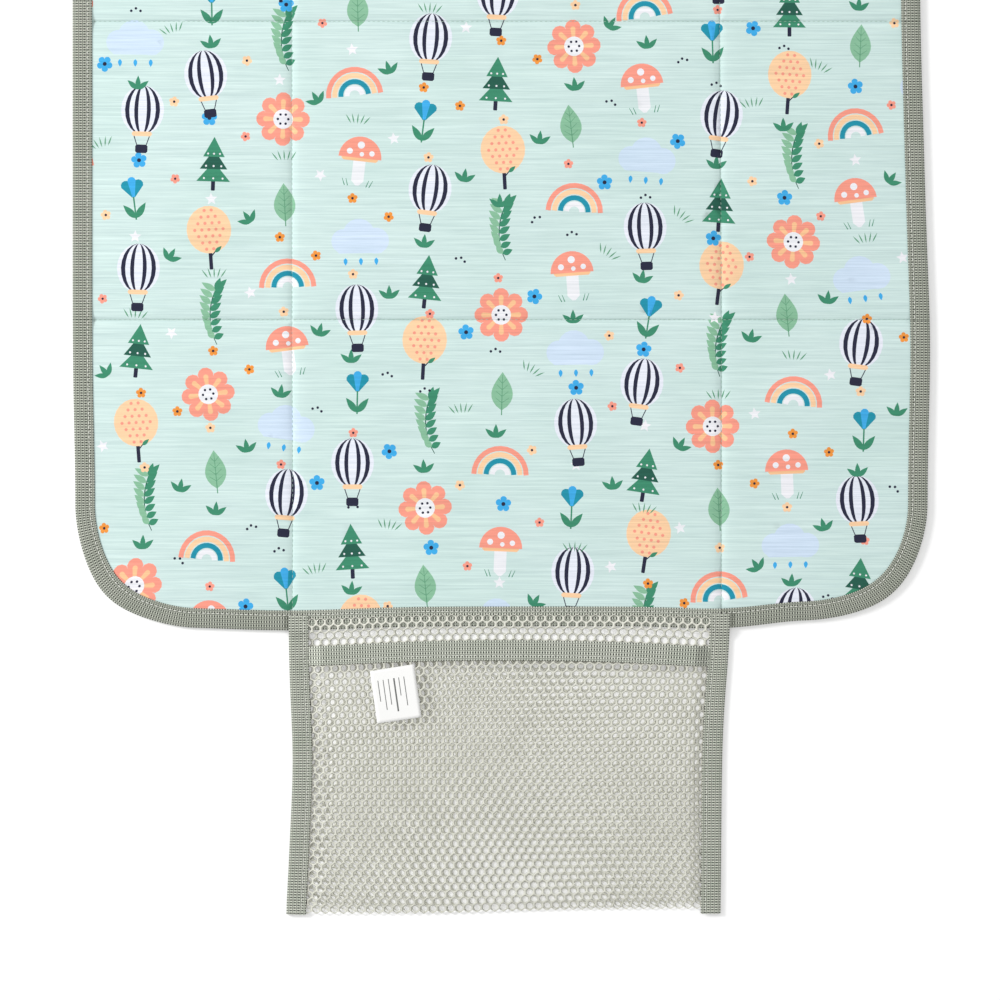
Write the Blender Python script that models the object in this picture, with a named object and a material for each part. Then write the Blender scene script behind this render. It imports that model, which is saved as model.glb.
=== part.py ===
"""A fold-up travel changing pad: a quilted pad of three rows and three columns that folds on its stitched
lines, bound in ribbed tape, with a mesh pocket that hangs from its foot edge.

+X is to the right of the pad, +Y is towards its head and +Z is up. The origin is in the middle of the
whole outline, on the surface that the pad lies on. Lengths are in metres.
"""

import math

import bpy
from mathutils import Vector

# Driving dimensions of the pad.
PAD_WIDTH = 0.5555
HEAD_ROW = 0.199
MIDDLE_ROW = 0.194
FOOT_ROW = 0.199
POCKET_LENGTH = 0.187
CORNER_RADIUS = 0.080
TAPE = 0.0127  # what shows of the binding tape, which is twice this wide before it is folded
LEFT_FOLD = -0.1352
RIGHT_FOLD = 0.1440

# Layers, from the underside up.
BACKING_THICK = 0.0004
FOAM_LOW, FOAM_HIGH = 0.0007, 0.0021
SHEET_LOW, SHEET_HIGH = 0.0024, 0.0028
PAD_THICK = 0.0035
LIP = 0.0004  # one layer of tape
EDGE = 0.0006  # the tape's fold, round the outer edge
GAP = 0.0003
ARC_STEPS = 12

# Pocket.
POCKET_LEFT = -0.1375
POCKET_RIGHT = 0.1420
POCKET_BACK_LOW = 0.0007
MESH_THICK = 0.0004
FRONT_LOW_AT_STRAP = 0.0014
FRONT_LOW = 0.0060  # under the middle of the front mesh
FRONT_RISE = 0.008  # how far in from a strap the front mesh rises
STRAP_THICK = 0.0025
MOUTH_DROP = 0.0110  # from the pad's edge down to the mouth band
TAB_LENGTH = 0.0095
ON_TAPE = PAD_THICK + GAP  # what is sewn onto the binding lies here
LABEL_WIDTH, LABEL_LENGTH, LABEL_THICK = 0.0290, 0.0350, 0.0002
LABEL_X, LABEL_TURN = -0.0700, math.radians(8)

# Lines across the pad, worked out from the dimensions above.
TOTAL_LENGTH = HEAD_ROW + MIDDLE_ROW + FOOT_ROW + POCKET_LENGTH
HALF = PAD_WIDTH / 2
HEAD_EDGE = TOTAL_LENGTH / 2
HEAD_FOLD = HEAD_EDGE - HEAD_ROW
FOOT_FOLD = HEAD_FOLD - MIDDLE_ROW
FOOT_EDGE = FOOT_FOLD - FOOT_ROW
POCKET_END = FOOT_EDGE - POCKET_LENGTH
MOUTH = FOOT_EDGE - MOUTH_DROP

ROWS = {"head": (HEAD_FOLD, HEAD_EDGE), "middle": (FOOT_FOLD, HEAD_FOLD), "foot": (FOOT_EDGE, FOOT_FOLD)}
COLUMNS = {"left": (-HALF, LEFT_FOLD), "centre": (LEFT_FOLD, RIGHT_FOLD), "right": (RIGHT_FOLD, HALF)}

# A fold's axis stands high enough for the folded layers to lie on what is already folded.
TAB_TOP = ON_TAPE + LIP
LABEL_LOW = FRONT_LOW + MESH_THICK + GAP
BAND_TOP = LABEL_LOW + LIP
LABEL_AXIS = (BAND_TOP + GAP + LABEL_LOW + LABEL_THICK) / 2
POCKET_TOP = 2 * LABEL_AXIS - LABEL_LOW
SIDE_AXIS = (TAB_TOP + GAP + PAD_THICK) / 2
SIDE_STACK = 2 * SIDE_AXIS
POCKET_AXIS = (SIDE_STACK + GAP + POCKET_TOP) / 2
POCKET_STACK = 2 * POCKET_AXIS
FOOT_AXIS = (SIDE_STACK + GAP + POCKET_STACK) / 2
FOOT_STACK = 2 * FOOT_AXIS
HEAD_AXIS = (FOOT_STACK + GAP + SIDE_STACK) / 2

COLOURS = {
    "printed_cotton": ((0.62, 0.78, 0.71), 0.85),
    "wadding": ((0.90, 0.90, 0.88), 0.95),
    "backing_cloth": ((0.55, 0.66, 0.62), 0.60),
    "ribbed_tape": ((0.29, 0.31, 0.25), 0.80),
    "net": ((0.72, 0.71, 0.64), 0.75),
    "label_satin": ((0.90, 0.90, 0.90), 0.45),
}


def clear_scene():
    for old in list(bpy.data.objects):
        bpy.data.objects.remove(old, do_unlink=True)


def material(name):
    """The part's own material, made once."""
    if name in bpy.data.materials:
        return bpy.data.materials[name]
    colour, roughness = COLOURS[name]
    made = bpy.data.materials.new(name)
    made.use_nodes = True
    shader = made.node_tree.nodes["Principled BSDF"]
    shader.inputs["Base Color"].default_value = (*colour, 1)
    shader.inputs["Roughness"].default_value = roughness
    made.diffuse_color = (*colour, 1)
    return made


def pivot(name, place, parent=None):
    """An empty on a fold's axis, which the pieces that fold there hang from."""
    empty = bpy.data.objects.new(name, None)
    bpy.context.scene.collection.objects.link(empty)
    empty.location = place
    if parent:
        empty.parent = parent
        empty.location = Vector(place) - world_place(parent)
    return empty


def world_place(empty):
    """Where an unturned empty stands, from its own and its parents' locations."""
    place = empty.location.copy()
    while empty.parent:
        empty = empty.parent
        place += empty.location
    return place


def loft(name, sections, colour, parent):
    """A closed solid through equal-length loops of points, with its two ends capped."""
    base = world_place(parent)
    points = [Vector(p) - base for section in sections for p in section]
    size = len(sections[0])
    faces = [tuple(reversed(range(size)))]
    for n in range(len(sections) - 1):
        low, high = n * size, (n + 1) * size
        for i in range(size):
            j = (i + 1) % size
            faces.append((low + i, low + j, high + j, high + i))
    faces.append(tuple(range(len(points) - size, len(points))))
    mesh = bpy.data.meshes.new(name)
    mesh.from_pydata(points, [], faces)
    mesh.materials.append(material(colour))
    made = bpy.data.objects.new(name, mesh)
    bpy.context.scene.collection.objects.link(made)
    made.parent = parent
    return made


def slab(name, outline, low, high, colour, parent):
    """A flat sheet whose outline runs anticlockwise seen from above."""
    sections = [[(x, y, z) for x, y in outline] for z in (low, high)]
    return loft(name, sections, colour, parent)


def edge_path(row, column):
    """[(point, way in)] along a panel's bound edges, anticlockwise round the pad, or [] for the middle panel."""
    (low, high), (left, right) = ROWS[row], COLUMNS[column]
    left, right = left + (column != "left") * GAP, right - (column != "right") * GAP
    low, high = low + (row != "foot") * GAP, high - (row != "head") * GAP
    if row == "middle" and column == "centre":
        return []
    if column == "centre":
        y, way, ends = (low, 1, (left, right)) if row == "foot" else (high, -1, (right, left))
        return [((x, y), (0, way)) for x in ends]
    if row == "middle":
        x, way, ends = (left, 1, (high, low)) if column == "left" else (right, -1, (low, high))
        return [((x, y), (way, 0)) for y in ends]
    side = -1 if column == "left" else 1
    end = -1 if row == "foot" else 1
    centre = (side * (HALF - CORNER_RADIUS), (low if end < 0 else high) - end * CORNER_RADIUS)
    path = [((side * HALF, high if end < 0 else low), (-side, 0))]
    for n in range(ARC_STEPS + 1):
        angle = math.pi / 2 * n / ARC_STEPS
        out = (side * math.cos(angle), end * math.sin(angle))
        point = (centre[0] + CORNER_RADIUS * out[0], centre[1] + CORNER_RADIUS * out[1])
        path.append((point, (-out[0], -out[1])))
    inner = right if column == "left" else left
    path.append(((inner, centre[1] + end * CORNER_RADIUS), (0, -end)))
    return path if side * end > 0 else path[::-1]


def panel_outline(row, column, inset):
    """A panel's outline, held in from the pad's bound edges and half a gap from its folds."""
    (low, high), (left, right) = ROWS[row], COLUMNS[column]
    path = [(p[0] + inset * way[0], p[1] + inset * way[1]) for p, way in edge_path(row, column)]
    folds = {
        "left": left + GAP,
        "right": right - GAP,
        "low": low + GAP,
        "high": high - GAP,
    }
    if not path:
        corners = (("left", "low"), ("right", "low"), ("right", "high"), ("left", "high"))
        return [(folds[a], folds[b]) for a, b in corners]
    if column == "centre":
        inner = folds["high"] if row == "foot" else folds["low"]
        return path + [(path[-1][0], inner), (path[0][0], inner)]
    inner = folds["right"] if column == "left" else folds["left"]
    if row == "middle":
        return path + [(inner, path[-1][1]), (inner, path[0][1])]
    return path + [(inner, folds["high"] if row == "foot" else folds["low"])]


def channel_section(point, way, depth, top):
    """Tape folded round an edge: a channel open towards the way in, from the surface up to top."""
    profile = [(0, 0), (depth, 0), (depth, LIP), (EDGE, LIP)]
    profile += [(EDGE, top - LIP), (depth, top - LIP), (depth, top), (0, top)]
    return [(point[0] + d * way[0], point[1] + d * way[1], z) for d, z in profile]


def channel(name, path, depth, top, parent):
    """Folded tape along a path of (point, way in)."""
    sections = [channel_section(point, way, depth, top) for point, way in path]
    return loft(name, sections, "ribbed_tape", parent)


def panel(row, column, parent):
    """One panel of the pad: backing, foam wadding, printed top sheet and its stretch of the binding."""
    name = f"{row}_{column}"
    inside_tape = panel_outline(row, column, TAPE + GAP)
    in_slot = panel_outline(row, column, EDGE + 2 * GAP)
    slab(f"backing_{name}", inside_tape, 0, BACKING_THICK, "backing_cloth", parent)
    slab(f"foam_{name}", in_slot, FOAM_LOW, FOAM_HIGH, "wadding", parent)
    slab(f"top_sheet_{name}", in_slot, SHEET_LOW, SHEET_HIGH, "printed_cotton", parent)
    path = edge_path(row, column)
    if path:
        channel(f"binding_{name}", path, TAPE, PAD_THICK, parent)


def mesh_strip(name, low, high, parent):
    """A stretch of the front mesh, through lines given as its underside's (x, y, z) at two or more places."""
    sections = []
    for one, other in zip(low, high):
        over = [(x, y, z + MESH_THICK) for x, y, z in (other, one)]
        sections.append([one, other] + over)
    loft(name, sections, "net", parent)


def pocket(parent):
    """The mesh pocket, flat on the surface below the pad's foot edge, open towards the pad."""
    left, right = POCKET_LEFT + EDGE + GAP, POCKET_RIGHT - EDGE - GAP
    top, end = FOOT_EDGE - 2 * GAP, POCKET_END
    back = [(left, end), (right, end), (right, top), (left, top)]
    slab("pocket_back_mesh", back, POCKET_BACK_LOW, POCKET_BACK_LOW + MESH_THICK, "net", parent)

    # The front mesh is level in the middle, and comes down to the back one at both straps and the bottom fold.
    bottom, mouth = end + FRONT_RISE, MOUTH - EDGE - GAP
    strap_left, strap_right = POCKET_LEFT + TAPE, POCKET_RIGHT - TAPE
    level_left, level_right = strap_left + FRONT_RISE, strap_right - FRONT_RISE
    level = [(level_left + GAP, FRONT_LOW), (level_right - GAP, FRONT_LOW)]
    left_side = [(left, FRONT_LOW_AT_STRAP), (strap_left, FRONT_LOW_AT_STRAP), (level_left, FRONT_LOW)]
    right_side = [(level_right, FRONT_LOW), (strap_right, FRONT_LOW_AT_STRAP), (right, FRONT_LOW_AT_STRAP)]
    pieces = {"pocket_front_mesh": level, "pocket_mesh_left_side": left_side, "pocket_mesh_right_side": right_side}
    for name, line in pieces.items():
        low = [(x, bottom, z) for x, z in line]
        high = [(x, mouth, z) for x, z in line]
        mesh_strip(name, low, high, parent)
    fold = [(x, end, FRONT_LOW_AT_STRAP) for x in (level_left, level_right)]
    rise = [(x, bottom - GAP, FRONT_LOW) for x in (level_left, level_right)]
    mesh_strip("pocket_mesh_bottom", fold, rise, parent)

    # The mouth band wraps the top edge of the front mesh where that is level.
    hem, low = MOUTH - TAPE, FRONT_LOW - GAP - LIP
    section = [(hem, low), (MOUTH, low), (MOUTH, BAND_TOP), (hem, BAND_TOP)]
    section += [(hem, LABEL_LOW), (MOUTH - EDGE, LABEL_LOW)]
    section += [(MOUTH - EDGE, low + LIP), (hem, low + LIP)]
    ends = (level_left + GAP, level_right - GAP)
    sections = [[(x, y, z) for y, z in section] for x in ends]
    loft("pocket_mouth_band", sections, "ribbed_tape", parent)

    for side, x, way in (("left", POCKET_LEFT, 1), ("right", POCKET_RIGHT, -1)):
        ends = (top, end) if side == "left" else (end, top)
        channel(f"pocket_strap_{side}", [((x, y), (way, 0)) for y in ends], TAPE, STRAP_THICK, parent)

    # The care label hangs from the band, a little turned.
    across = Vector((math.cos(LABEL_TURN), math.sin(LABEL_TURN)))
    down = Vector((across.y, -across.x))
    corner = Vector((LABEL_X - LABEL_WIDTH / 2, MOUTH - TAPE - 2 * GAP - LABEL_WIDTH * across.y))
    label_fold = pivot("label_fold", (*(corner + across * LABEL_WIDTH / 2), LABEL_AXIS), parent)
    corners = [corner, corner + down * LABEL_LENGTH]
    corners += [corners[1] + across * LABEL_WIDTH, corner + across * LABEL_WIDTH]
    outline = [tuple(c) for c in corners]
    slab("care_label", outline, LABEL_LOW, LABEL_LOW + LABEL_THICK, "label_satin", label_fold)


def pocket_sewn_edge(parent):
    """What joins the pocket to the pad: the straps' ends and the mesh's hem, sewn onto the foot binding."""
    low, high = FOOT_EDGE, FOOT_EDGE + TAB_LENGTH
    inner = (POCKET_LEFT + TAPE + GAP, POCKET_RIGHT - TAPE - GAP)
    pieces = (
        ("strap_tab_left", LEFT_FOLD + GAP, POCKET_LEFT + TAPE, "ribbed_tape"),
        ("strap_tab_right", POCKET_RIGHT - TAPE, POCKET_RIGHT, "ribbed_tape"),
        ("pocket_hem", *inner, "net"),
    )
    for name, left, right, colour in pieces:
        outline = [(left, low), (right, low), (right, high), (left, high)]
        slab(name, outline, ON_TAPE, TAB_TOP, colour, parent)


def build():
    clear_scene()
    middle = pivot("middle_row", (0, 0, 0))
    rows = {
        "middle": middle,
        "head": pivot("head_fold", (0, HEAD_FOLD, HEAD_AXIS), middle),
        "foot": pivot("foot_fold", (0, FOOT_FOLD, FOOT_AXIS), middle),
    }
    for row, centre in rows.items():
        y = sum(ROWS[row]) / 2
        columns = {
            "centre": centre,
            "left": pivot(f"{row}_left_fold", (LEFT_FOLD, y, SIDE_AXIS), centre),
            "right": pivot(f"{row}_right_fold", (RIGHT_FOLD, y, SIDE_AXIS), centre),
        }
        for column, parent in columns.items():
            panel(row, column, parent)
    pocket_sewn_edge(rows["foot"])
    pocket(pivot("pocket_fold", (0, FOOT_EDGE, POCKET_AXIS), rows["foot"]))


build()
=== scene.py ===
"""The looks of the fold-up changing pad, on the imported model: printed quilted cotton, wadding, backing
cloth, ribbed tape, a two-layer net pocket, its care label and all the sewing. Lengths are in metres."""

import math

import bpy
import numpy as np
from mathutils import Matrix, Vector, noise
from mathutils.geometry import delaunay_2d_cdt


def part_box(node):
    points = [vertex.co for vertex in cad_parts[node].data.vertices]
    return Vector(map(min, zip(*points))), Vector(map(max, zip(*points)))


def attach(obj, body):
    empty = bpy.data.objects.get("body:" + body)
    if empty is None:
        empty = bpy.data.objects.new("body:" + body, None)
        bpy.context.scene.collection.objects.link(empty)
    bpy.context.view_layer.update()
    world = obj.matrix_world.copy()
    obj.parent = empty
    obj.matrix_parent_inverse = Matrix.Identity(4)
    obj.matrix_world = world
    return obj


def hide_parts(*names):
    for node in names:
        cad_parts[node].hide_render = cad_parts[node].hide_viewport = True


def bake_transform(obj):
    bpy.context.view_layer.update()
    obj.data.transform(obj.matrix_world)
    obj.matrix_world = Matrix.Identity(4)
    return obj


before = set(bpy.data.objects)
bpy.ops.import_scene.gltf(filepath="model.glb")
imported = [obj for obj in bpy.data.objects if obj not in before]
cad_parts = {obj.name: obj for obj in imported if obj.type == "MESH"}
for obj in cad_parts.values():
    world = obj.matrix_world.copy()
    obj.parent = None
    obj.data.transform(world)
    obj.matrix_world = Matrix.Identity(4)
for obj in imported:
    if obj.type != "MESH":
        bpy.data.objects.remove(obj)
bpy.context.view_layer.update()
bpy.ops.object.select_all(action="DESELECT")

MM = 0.001
ROWS = ("head", "middle", "foot")
COLUMNS = ("left", "centre", "right")


# Places, from the frame

def between(low_node, high_node, axis):
    """Half-way between two neighbouring nodes, which is where the pad folds."""
    return (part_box(low_node)[1][axis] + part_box(high_node)[0][axis]) / 2


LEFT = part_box("binding_middle_left")[0].x
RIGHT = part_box("binding_middle_right")[1].x
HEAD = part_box("binding_head_centre")[1].y
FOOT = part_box("binding_foot_centre")[0].y
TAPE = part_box("binding_foot_centre")[1].y - FOOT
LEFT_FOLD = between("foam_middle_left", "foam_middle_centre", 0)
RIGHT_FOLD = between("foam_middle_centre", "foam_middle_right", 0)
FOOT_FOLD = between("foam_foot_centre", "foam_middle_centre", 1)
HEAD_FOLD = between("foam_middle_centre", "foam_head_centre", 1)
PAD_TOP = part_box("binding_middle_left")[1].z
FOAM_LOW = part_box("foam_middle_centre")[0].z
SHEET_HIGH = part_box("top_sheet_middle_centre")[1].z
POCKET_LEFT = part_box("pocket_strap_left")[0].x
POCKET_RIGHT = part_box("pocket_strap_right")[1].x
POCKET_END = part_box("pocket_strap_left")[0].y
BAND_LOW, BAND_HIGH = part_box("pocket_mouth_band")
NET_FRONT_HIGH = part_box("pocket_front_mesh")[1].z
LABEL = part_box("care_label")
CORNER = 80 * MM

X_LINES = {"left": (LEFT, LEFT_FOLD), "centre": (LEFT_FOLD, RIGHT_FOLD), "right": (RIGHT_FOLD, RIGHT)}
Y_LINES = {"head": (HEAD_FOLD, HEAD), "middle": (FOOT_FOLD, HEAD_FOLD), "foot": (FOOT, FOOT_FOLD)}

# How far the cloth takes to turn over at each kind of fold.
SIDE_TURN, FOOT_TURN, HEAD_TURN = 2.8 * MM, 8 * MM, 11 * MM
# The pocket turns over between these distances outside the pad's foot edge.
POCKET_TURN = (0.5 * MM, 5.5 * MM)

# The pad doesn't lie quite square. A pull moves the cloth near a place by a small step, less so further away.
PULLS = (
    # (x, y), (dx, dy), (reach across, reach along)
    ((0.300, 0.230), (-0.0050, 0.0), (0.130, 0.140)),
    ((0.300, -0.020), (0.0020, 0.0), (0.100, 0.060)),
    ((0.200, -0.205), (0.0, 0.0042), (0.045, 0.050)),
    ((0.262, -0.180), (0.0012, -0.0026), (0.030, 0.030)),
    ((-0.278, -0.125), (0.0018, 0.0), (0.120, 0.070)),
    ((-0.257, -0.179), (-0.0020, -0.0042), (0.030, 0.030)),
    ((-0.140, -0.205), (0.0, -0.0028), (0.060, 0.050)),
    ((0.150, -0.205), (0.0, -0.0023), (0.040, 0.050)),
)
POCKET_PULLS = (
    ((0.140, -0.190), (0.0062, 0.0), (0.100, 0.062)),
    ((0.150, -0.300), (0.0020, 0.0), (0.060, 0.140)),
    ((-0.131, -0.290), (0.0027, 0.0), (0.080, 0.050)),
    ((-0.131, -0.395), (-0.0015, 0.0), (0.060, 0.030)),
    ((0.000, -0.218), (0.0, 0.0020), (0.090, 0.016)),
    ((0.125, -0.222), (0.0, -0.0014), (0.050, 0.016)),
    ((-0.040, -0.386), (0.0, -0.0022), (0.080, 0.030)),
)


def as_laid(points, pulls=PULLS):
    """Points (n, 3) moved to where the cloth lies."""
    moved = points.copy()
    for centre, step, reach in pulls:
        away = ((points[:, :2] - centre) / reach) ** 2
        share = np.exp(-away.sum(1))
        moved[:, 0] += share * step[0]
        moved[:, 1] += share * step[1]
    return moved


# Making and placing pieces

def piece_from(name, points, faces, material, smooth=True, pulls=PULLS):
    """A new object from points in the pad's own flat layout, moved to where the cloth lies."""
    mesh = bpy.data.meshes.new(name)
    mesh.from_pydata(as_laid(np.asarray(points, float), pulls).tolist(), [], faces)
    mesh.validate()
    mesh.materials.append(material)
    made = bpy.data.objects.new(name, mesh)
    bpy.context.scene.collection.objects.link(made)
    if smooth:
        mesh.shade_smooth()
    return made


def place(piece, row, column):
    """Rides on the middle centre panel's body; any other piece has its place baked into its points."""
    body = f"{row}_{column}"
    if column == "left":
        start, end = (LEFT_FOLD, 0, 0), (LEFT_FOLD - SIDE_TURN, 0, 0)
        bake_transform(piece)
        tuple(start)
        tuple(end)
    elif column == "right":
        start, end = (RIGHT_FOLD, 0, 0), (RIGHT_FOLD + SIDE_TURN, 0, 0)
        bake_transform(piece)
        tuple(start)
        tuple(end)
    elif row == "foot":
        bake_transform(piece)
    elif row == "head":
        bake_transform(piece)
    else:
        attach(piece, body)


def place_on_pocket(piece):
    """Bakes a pocket piece's place into its points; the pocket's own fold lies at the pad's foot edge."""
    start, end = ((0, FOOT - distance, 0) for distance in POCKET_TURN)
    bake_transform(piece)
    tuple(start)
    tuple(end)


# Materials

def linear(red, green, blue):
    """An sRGB colour, 0 to 255, as linear light."""
    shares = [c / 255 for c in (red, green, blue)]
    return tuple(c / 12.92 if c <= 0.04045 else ((c + 0.055) / 1.055) ** 2.4 for c in shares)


class Nodes:
    """Short calls that add nodes to one material."""

    def __init__(self, name, roughness, sheen=0.0):
        self.material = bpy.data.materials.new(name)
        self.material.use_nodes = True
        self.tree = self.material.node_tree
        self.shader = self.tree.nodes["Principled BSDF"]
        self.shader.inputs["Roughness"].default_value = roughness
        self.shader.inputs["Specular IOR Level"].default_value = 0.25
        self.shader.inputs["Sheen Weight"].default_value = sheen
        self.shader.inputs["Sheen Roughness"].default_value = 0.5

    def add(self, kind, **inputs):
        node = self.tree.nodes.new(kind)
        for key, value in inputs.items():
            name = key.replace("_", " ")
            if name in node.inputs:
                self.put(node.inputs[name], value)
            else:
                setattr(node, key, value)
        return node

    def put(self, socket, value):
        if isinstance(value, bpy.types.NodeSocket):
            self.tree.links.new(value, socket)
        else:
            socket.default_value = value

    def coords(self, kind="Object", scale=(1, 1, 1), turn=0.0):
        source = self.add("ShaderNodeTexCoord").outputs[kind]
        mapping = self.add("ShaderNodeMapping", Vector=source, Scale=scale, Rotation=(0, 0, turn))
        return mapping.outputs[0]

    def noise(self, vector, scale, detail=3.0, roughness=0.6):
        made = self.add("ShaderNodeTexNoise", Vector=vector, Scale=scale, Detail=detail, Roughness=roughness)
        return made.outputs["Fac"]

    def wave(self, vector, scale, bands, distortion=0.0, detail_scale=1.0):
        made = self.add("ShaderNodeTexWave", Vector=vector, Scale=scale, Distortion=distortion)
        self.put(made.inputs["Detail Scale"], detail_scale)
        made.bands_direction = bands
        return made.outputs["Fac"]

    def math(self, operation, a, b=0.0):
        node = self.tree.nodes.new("ShaderNodeMath")
        node.operation = operation
        self.put(node.inputs[0], a)
        self.put(node.inputs[1], b)
        return node.outputs[0]

    def ramp(self, value, low, high, at=(0.0, 1.0)):
        node = self.tree.nodes.new("ShaderNodeValToRGB")
        self.put(node.inputs[0], value)
        node.color_ramp.elements[0].position, node.color_ramp.elements[1].position = at
        node.color_ramp.elements[0].color = (*low, 1)
        node.color_ramp.elements[1].color = (*high, 1)
        return node.outputs[0]

    def mix(self, share, a, b, how="MIX"):
        node = self.tree.nodes.new("ShaderNodeMix")
        node.data_type, node.blend_type = "RGBA", how
        for index, value in ((0, share), (6, a), (7, b)):
            if isinstance(value, tuple) and len(value) == 3:
                value = (*value, 1)
            self.put(node.inputs[index], value)
        return node.outputs[2]

    def bump(self, height, distance, strength=1.0, under=None):
        node = self.add("ShaderNodeBump", Height=height, Distance=distance, Strength=strength)
        if under is not None:
            self.put(node.inputs["Normal"], under)
        return node.outputs[0]

    def finish(self, colour, normal=None):
        self.put(self.shader.inputs["Base Color"], colour)
        if normal is not None:
            self.put(self.shader.inputs["Normal"], normal)
        return self.material


MINT = linear(207, 229, 225)


def cotton():
    """Printed slub cotton: long uneven weft threads, a fine weave, and the print from the mesh."""
    n = Nodes("printed cotton", 0.88, 0.15)
    slubs = n.noise(n.coords(scale=(9, 620, 1)), 1.0, 4.0, 0.7)
    streaks = n.noise(n.coords(scale=(26, 1500, 1)), 1.0, 2.0, 0.6)
    patches = n.noise(n.coords(), 14.0, 3.0, 0.5)
    printed = n.add("ShaderNodeAttribute", attribute_name="print").outputs["Color"]
    shade = n.ramp(slubs, (0.84, 0.86, 0.86), (1.11, 1.09, 1.09), (0.30, 0.72))
    thread = n.ramp(streaks, (0.90, 0.915, 0.93), (1.07, 1.06, 1.05), (0.3, 0.7))
    tone = n.ramp(patches, (0.975, 0.99, 0.985), (1.02, 1.01, 1.02), (0.35, 0.65))
    colour = n.mix(1.0, printed, shade, "MULTIPLY")
    colour = n.mix(1.0, colour, thread, "MULTIPLY")
    colour = n.mix(1.0, colour, tone, "MULTIPLY")
    warp = n.wave(n.coords(), 480.0, "X", 0.6)
    weft = n.wave(n.coords(), 430.0, "Y", 0.8)
    weave = n.math("ADD", n.math("MULTIPLY", warp, 0.5), weft)
    normal = n.bump(n.math("ADD", weave, n.math("MULTIPLY", slubs, 1.6)), 0.00012, 0.55)
    return n.finish(colour, normal)


def wadding():
    n = Nodes("wadding", 0.95, 0.3)
    fluff = n.noise(n.coords(), 420.0, 5.0, 0.7)
    colour = n.ramp(fluff, (0.74, 0.74, 0.72), (0.93, 0.93, 0.91), (0.3, 0.7))
    return n.finish(colour, n.bump(fluff, 0.0006, 0.8))


def backing_cloth():
    """Coated plain weave, a little shiny."""
    n = Nodes("backing cloth", 0.52, 0.0)
    across = n.wave(n.coords(), 330.0, "X", 0.5)
    along = n.wave(n.coords(), 330.0, "Y", 0.5)
    weave = n.math("MULTIPLY", across, along)
    patches = n.noise(n.coords(), 9.0, 4.0, 0.6)
    base = n.ramp(patches, linear(150, 172, 160), linear(166, 188, 176), (0.3, 0.7))
    colour = n.mix(n.math("MULTIPLY", weave, 0.35), base, linear(190, 208, 198))
    normal = n.bump(weave, 0.00015, 0.6, n.bump(patches, 0.0012, 0.35))
    return n.finish(colour, normal)


def wave_scale(period):
    """The Wave texture's scale for bands a period apart, in metres."""
    return math.pi / 10 / period


RIB, WARP = 1.70 * MM, 1.25 * MM


def ribbed_tape(name, shade):
    """Grosgrain: cross ribs, each crossed by fine warp threads. U runs along the tape and V across it."""
    n = Nodes(name, 0.82, 0.2)
    along = n.coords("UV")
    shifted = n.add("ShaderNodeMapping", Vector=along, Location=(RIB / 2, 0, 0)).outputs[0]
    ribs = n.wave(along, wave_scale(RIB), "X", 0.0)
    other_ribs = n.wave(shifted, wave_scale(RIB), "X", 0.0)
    threads = n.wave(along, wave_scale(WARP * 2), "Y", 0.0)
    relief = n.mix(n.math("MULTIPLY", n.math("GREATER_THAN", threads, 0.5), 0.45), ribs, other_ribs)
    gaps = n.wave(along, wave_scale(WARP), "Y", 0.0)
    relief = n.math("MULTIPLY", relief, n.math("ADD", n.math("MULTIPLY", gaps, 0.45), 0.6))
    fuzz = n.noise(n.coords("UV"), 1900.0, 3.0, 0.7)
    wear = n.noise(n.coords(), 60.0, 3.0, 0.6)
    # Painted shade: the colour follows the ribs' relief, from nearly black in the grooves between ribs and
    # warp threads to the tape's own colour, set by shade, on their crests.
    yarn = n.ramp(relief, linear(8, 11, 8), linear(shade, shade + 5, shade - 9), (0.10, 0.92))
    yarn = n.mix(1.0, yarn, n.ramp(fuzz, (0.72, 0.72, 0.72), (1.28, 1.28, 1.26), (0.3, 0.7)), "MULTIPLY")
    yarn = n.mix(1.0, yarn, n.ramp(wear, (0.93, 0.95, 0.92), (1.06, 1.05, 1.05), (0.3, 0.7)), "MULTIPLY")
    return n.finish(yarn, n.bump(relief, 0.0004, 0.8))


def net_yarn(name, shade):
    n = Nodes(name, 0.75, 0.25)
    twist = n.wave(n.coords(turn=0.6), 900.0, "DIAGONAL", 1.5)
    tone = n.noise(n.coords(), 90.0, 3.0, 0.6)
    dark, light = linear(shade - 10, shade - 10, shade - 23), linear(shade + 8, shade + 8, shade - 4)
    base = n.ramp(tone, dark, light, (0.3, 0.7))
    colour = n.mix(n.math("MULTIPLY", twist, 0.30), base, linear(shade + 18, shade + 18, shade + 8))
    return n.finish(colour, n.bump(twist, 0.0001, 0.5))


def satin():
    n = Nodes("label satin", 0.42, 0.2)
    threads = n.wave(n.coords("UV"), 900.0, "Y", 0.4)
    colour = n.ramp(threads, linear(238, 238, 236), linear(250, 250, 248))
    return n.finish(colour, n.bump(threads, 0.00005, 0.5))


def plain_thread(name, red, green, blue):
    n = Nodes(name, 0.7, 0.3)
    twist = n.wave(n.coords(turn=0.7), 1300.0, "DIAGONAL", 1.0)
    dark, light = linear(red * 0.86, green * 0.86, blue * 0.86), linear(red, green, blue)
    return n.finish(n.ramp(twist, dark, light), n.bump(twist, 0.00008, 0.6))


COTTON, WADDING, BACKING = cotton(), wadding(), backing_cloth()
SATIN = satin()
# The side, end and band tapes are one tape painted at three brightnesses: painted shade on the side tape and
# painted light on the band tape.
SIDE_TAPE, END_TAPE, BAND_TAPE = (
    ribbed_tape(f"{part} tape", shade) for part, shade in (("side", 226), ("end", 246), ("band", 255))
)
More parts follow.
